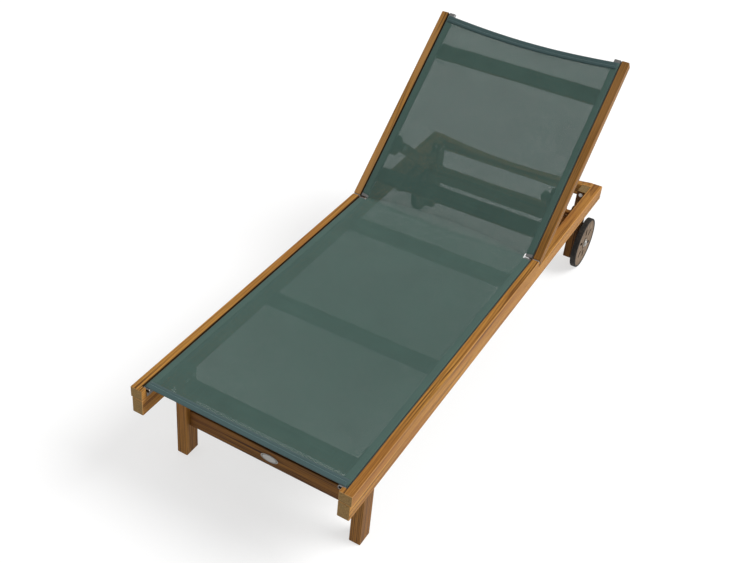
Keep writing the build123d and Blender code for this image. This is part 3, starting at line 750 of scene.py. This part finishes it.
def hem_mesh(name, shape, start, inner, sizes):
    """A folded hem: the sheet's doubled edge, from the fold at start to its inner edge."""
    mesh = bmesh.new()
    half = sizes.hem_thickness
    shares = grid_lines(-1.0, 1.0, 0.02)
    around = []
    steps = 8
    flat_steps = 4
    for i in range(flat_steps + 1):
        around.append((inner + (start - inner) * i / flat_steps, half))
    fold = 1 if start > inner else -1
    for i in range(1, steps):
        turn = math.pi * i / steps
        around.append((start + fold * math.sin(turn) * half, half * math.cos(turn)))
    for i in range(flat_steps + 1):
        around.append((start + (inner - start) * i / flat_steps, -half))
    across_layer = mesh.verts.layers.float.new(ACROSS)
    along_layer = mesh.verts.layers.float.new(ALONG)
    rings = []
    for share in shares:
        ring = []
        travelled = 0.0
        last = None
        for run, height in around:
            if last is not None:
                travelled += math.hypot(run - last[0], height - last[1])
            last = (run, height)
            inside = min(max(run, 0.0), shape.length)
            place, out = shape.point(share, inside)
            beyond = run - inside
            direction = ALONG_BACK if run > shape.seat else ALONG_FRAME
            vertex = mesh.verts.new(place + direction * beyond + out * (height + shape.thickness / 2))
            vertex[across_layer] = share * shape.half_width(inside)
            vertex[along_layer] = travelled
            ring.append(vertex)
        rings.append(ring)
    skin(mesh, rings)
    return finished_mesh(name, mesh)


def stitch_row(name, shape, run, sizes, height):
    """A row of short rounded stitches that runs across the sling."""
    mesh = bmesh.new()
    step = sizes.stitch_length * STITCH_PITCH
    half = shape.half_width(run) - STITCH_MARGIN
    for index in range(int(2 * half / step)):
        middle_x = -half + step * (index + 0.5)
        rings = []
        for part, lift, girth in STITCH:
            x = middle_x + part * sizes.stitch_length
            place, out = shape.point(x / shape.half_width(run), run)
            side = out.cross(ACROSS_FRAME)
            centre = place + out * (height + lift * sizes.thread_radius)
            ring = []
            for corner in range(STITCH_SIDES):
                turn = 2 * math.pi * corner / STITCH_SIDES
                spoke = side * math.cos(turn) + out * math.sin(turn)
                ring.append(mesh.verts.new(centre + spoke * sizes.thread_radius * girth))
            rings.append(ring)
        skin(mesh, rings)
    return finished_mesh(name, mesh)


class LOUNGER_OT_sling(bpy.types.Operator):
    """Stretches one mesh sling over both pairs of tracks, with its hems and stitches"""

    bl_idname = "lounger.sling"
    bl_label = "Sling"

    def execute(self, context):
        sizes, colours = settings_of(context)
        shape = SlingShape(sizes)
        yarn = rgba(*colours.yarn)
        shade = rgba(*colours.yarn_shade)
        side = sizes.side_hem / SLING_HALF_WIDTH
        tuck = sizes.tuck_width / SLING_HALF_WIDTH
        edges = [1 - tuck * part for part in (0.03, 0.12, 0.27, 0.5, 0.75, 1.0)]
        extra = [1 - side] + edges
        shares = grid_lines(-1.0, 1.0, 0.025, extra + [-share for share in extra])
        close = grid_lines(shape.seat - 0.06, shape.seat + 0.06, 0.003)
        runs = grid_lines(0.0, shape.length, 0.016, close)
        sheet_mesh = surface_mesh("Sling_sheet", shape, shares, runs)
        band = sizes.side_hem
        under = woven_cloth("Sling_weave_under", yarn, shade, sizes.open_share_under, band)
        sheet = add_piece("Sling_sheet", sheet_mesh, under)
        upper = woven_cloth("Sling_weave_upper", yarn, shade, sizes.open_share_upper, band)
        sheet_mesh.materials.append(upper)
        thicken(sheet, sizes.cloth_thickness)

        hem_cloth = woven_cloth("Sling_hem_weave", rgba(*colours.hem), shade, 0.0)
        top = shape.length
        foot_mesh = hem_mesh("Sling_hem_foot", shape, 0.0, sizes.hem_depth, sizes)
        foot_hem = add_piece("Sling_hem_foot", foot_mesh, hem_cloth)
        top_mesh = hem_mesh("Sling_hem_top", shape, top, top - sizes.hem_depth, sizes)
        top_hem = add_piece("Sling_hem_top", top_mesh, hem_cloth)
        thread = thread_material()
        proud = shape.thickness / 2 + sizes.hem_thickness
        inset = sizes.hem_depth * STITCH_PLACE
        stitches = []
        for name, run in (("foot", inset), ("top", top - inset)):
            mesh = stitch_row("Sling_stitches_" + name, shape, run, sizes, proud)
            stitches.append(add_piece("Sling_stitches_" + name, mesh, thread))
        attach(foot_hem, "frame")
        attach(stitches[0], "frame")
        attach(top_hem, "backrest")
        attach(stitches[1], "backrest")
        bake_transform(sheet)
        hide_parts("sling_seat", "sling_back")
        return {"FINISHED"}


# ---- Stage ---------------------------------------------------------------------------------


# The way from the lounger to the key light
TO_KEY = (2.2, 1.1, 2.8)

# The camera's place from the foot end's middle on the floor, in metres, and its turns in degrees
CAMERA_FROM_FOOT = (1.1283, -1.6090, 2.3645)
CAMERA_HEADING = 29.8807
CAMERA_DIP = 35.9532
CAMERA_ROLL = 3.4157
CAMERA_LENS = 51.385
CAMERA_SENSOR = 36.0
CAMERA_SHIFT = (0.08, -0.03)


def floor_material():
    """A pale, faintly glowing floor, so that shadows on it stay light."""
    graph = Graph("Studio_floor", Specular_IOR_Level=0.1)
    mottle = graph.noise(graph.place(), 1.5, 2.0)
    colour = graph.mix(mottle, rgba(0.38, 0.38, 0.38), rgba(0.41, 0.41, 0.41))
    graph.feed(Base_Color=colour, Roughness=0.9 + mottle * 0.05)
    graph.feed(Emission_Color=WHITE, Emission_Strength=0.64)
    return graph.material


def studio_world(strength):
    """An even light from all round that looks white itself, whatever its strength."""
    world = bpy.data.worlds.new("Studio")
    world.use_nodes = True
    nodes = world.node_tree.nodes
    links = world.node_tree.links
    lighting = nodes["Background"]
    lighting.inputs["Strength"].default_value = strength
    seen = nodes.new("ShaderNodeBackground")
    for wash in (lighting, seen):
        wash.inputs["Color"].default_value = WHITE
    path = nodes.new("ShaderNodeLightPath")
    choice = nodes.new("ShaderNodeMixShader")
    sources = (path.outputs["Is Camera Ray"], lighting.outputs[0], seen.outputs[0])
    for source, socket in zip(sources, choice.inputs):
        links.new(source, socket)
    links.new(choice.outputs[0], nodes["World Output"].inputs[0])
    return world


class LOUNGER_OT_stage(bpy.types.Operator):
    """Adds the plain floor, the soft lights and the camera"""

    bl_idname = "lounger.stage"
    bl_label = "Stage"

    def execute(self, context):
        sizes = context.scene.lounger_sizes
        mesh = bpy.data.meshes.new("Studio_floor")
        half = sizes.floor_size / 2
        corners = [(-half, -half, 0), (half, -half, 0), (half, half, 0), (-half, half, 0)]
        mesh.from_pydata(corners, [], [(0, 1, 2, 3)])
        floor = bpy.data.objects.new("Studio_floor", mesh)
        mesh.materials.append(floor_material())
        context.scene.collection.objects.link(floor)

        context.scene.world = studio_world(sizes.sky_strength)
        key = bpy.data.lights.new("Key", "SUN")
        key.energy = sizes.key_strength
        key.angle = sizes.key_softness
        lamp = bpy.data.objects.new("Key", key)
        lamp.rotation_euler = Vector(TO_KEY).to_track_quat("Z", "Y").to_euler()
        context.scene.collection.objects.link(lamp)

        camera = bpy.data.cameras.new("Camera")
        camera.lens = CAMERA_LENS
        camera.sensor_width = CAMERA_SENSOR
        camera.shift_x, camera.shift_y = CAMERA_SHIFT
        eye = bpy.data.objects.new("Camera", camera)
        foot_end = Vector((0, CAD_BOX[0].y, 0))
        eye.matrix_world = (
            Matrix.Translation(foot_end + Vector(CAMERA_FROM_FOOT))
            @ Matrix.Rotation(math.radians(CAMERA_HEADING), 4, "Z")
            @ Matrix.Rotation(math.radians(90 - CAMERA_DIP), 4, "X")
            @ Matrix.Rotation(math.radians(CAMERA_ROLL), 4, "Z")
        )
        context.scene.collection.objects.link(eye)
        context.scene.camera = eye
        context.scene.view_settings.view_transform = "Standard"
        return {"FINISHED"}


# ---- Settings and panel --------------------------------------------------------------------


def length(name, description, default):
    return bpy.props.FloatProperty(
        name=name, description=description, default=default, min=0.0, precision=4, unit="LENGTH"
    )


def amount(name, description, default):
    return bpy.props.FloatProperty(name=name, description=description, default=default, min=0.0)


def colour(name, description, default):
    return bpy.props.FloatVectorProperty(
        name=name, description=description, default=default, size=3, min=0.0, max=1.0, subtype="COLOR"
    )


class LoungerSizes(bpy.types.PropertyGroup):
    cloth_thickness: length("Cloth thickness", "Thickness of the woven sheet", 0.0006)
    weave_pitch: length("Weave pitch", "Distance from yarn to yarn", 0.0014)
    open_share_upper: amount("Open share above", "Share of the cloth's upper face that is holes", 0.066)
    open_share_under: amount("Open share below", "Share of the cloth's lower face that is holes", 0.70)
    side_hem: length("Side hem", "Width of the doubled cloth over each track", 0.022)
    hem_depth: length("Hem depth", "Depth of the foot and top hems", 0.024)
    hem_thickness: length("Hem half thickness", "Half the thickness of a folded hem", 0.0014)
    seat_sag: length("Seat sag", "How far the seat hangs in the middle", 0.006)
    back_sag: length("Back sag", "How far the backrest's cloth hangs in the middle", 0.006)
    top_edge_sag: length("Top edge sag", "How far the top hem hangs behind the tracks", 0.011)
    top_edge_curve: length("Top edge curve", "How far the top hem curves towards the hinge", 0.013)
    bend_radius_side: length("Bend radius at the sides", "Rounding of the fold beside the rails", 0.012)
    bend_radius_middle: length("Bend radius in the middle", "Extra rounding of the fold in the middle", 0.064)
    bend_reach: length("Bend reach", "How far from the hinge line the cloth still bends", 0.027)
    tuck_width: length("Tuck width", "Width of each side edge that turns down into its channel", 0.0016)
    tuck_depth: length("Tuck depth", "How far each side edge turns down", 0.0034)
    hinge_cut_length: length("Hinge cut length", "How far the sides are cut back past the track ends", 0.011)
    hinge_cut_gap: length("Hinge cut gap", "Gap between a cut side and a track", 0.003)
    stitch_length: length("Stitch length", "Length of one stitch", 0.0034)
    thread_radius: length("Thread radius", "Radius of the sewing thread", 0.00035)
    streaks: amount("Timber streaks", "Strength of the timber's dark streaks", 0.85)
    floor_size: length("Floor size", "Side of the square floor", 60.0)
    sky_strength: amount("Sky strength", "Strength of the even light from all round", 0.46)
    key_strength: amount("Key strength", "Strength of the main light", 2.6)
    key_softness: bpy.props.FloatProperty(
        name="Key softness",
        description="How wide the main light looks from the lounger",
        default=math.radians(35),
        min=0.0,
        subtype="ANGLE",
    )


class LoungerColours(bpy.types.PropertyGroup):
    timber_light: colour("Light timber", "Teak between its streaks", (0.47, 0.222, 0.046))
    timber_dark: colour("Dark timber", "Teak in its streaks", (0.078, 0.030, 0.007))
    wheel_dark: colour("Dark wheel timber", "Streaks in the wheel discs", (0.075, 0.047, 0.028))
    yarn: colour("Yarn", "Coated yarn of the sling", (0.067, 0.131, 0.110))
    yarn_shade: colour("Yarn in shade", "Yarn between its crowns", (0.037, 0.071, 0.060))
    hem: colour("Hem", "Doubled cloth of the hems", (0.050, 0.094, 0.100))


class LOUNGER_PT_panel(bpy.types.Panel):
    """Sizes, colours and pieces of the sun lounger"""

    bl_idname = "LOUNGER_PT_panel"
    bl_label = "Sun lounger"
    bl_space_type = "VIEW_3D"
    bl_region_type = "UI"
    bl_category = "Lounger"

    def draw(self, context):
        layout = self.layout
        for operator in OPERATORS:
            layout.operator(operator.bl_idname)
        for group in settings_of(context):
            box = layout.box()
            for key in group.__annotations__:
                box.prop(group, key)


OPERATORS = (
    LOUNGER_OT_timber,
    LOUNGER_OT_wheels,
    LOUNGER_OT_fittings,
    LOUNGER_OT_sling,
    LOUNGER_OT_stage,
)
CLASSES = (LoungerSizes, LoungerColours) + OPERATORS + (LOUNGER_PT_panel,)


def register():
    for made in CLASSES:
        bpy.utils.register_class(made)
    bpy.types.Scene.lounger_sizes = bpy.props.PointerProperty(type=LoungerSizes)
    bpy.types.Scene.lounger_colours = bpy.props.PointerProperty(type=LoungerColours)


def unregister():
    del bpy.types.Scene.lounger_colours
    del bpy.types.Scene.lounger_sizes
    for made in reversed(CLASSES):
        bpy.utils.unregister_class(made)


def main():
    register()
    bpy.ops.lounger.timber()
    bpy.ops.lounger.wheels()
    bpy.ops.lounger.fittings()
    bpy.ops.lounger.sling()
    bpy.ops.lounger.stage()


if __name__ == "__main__":
    main()
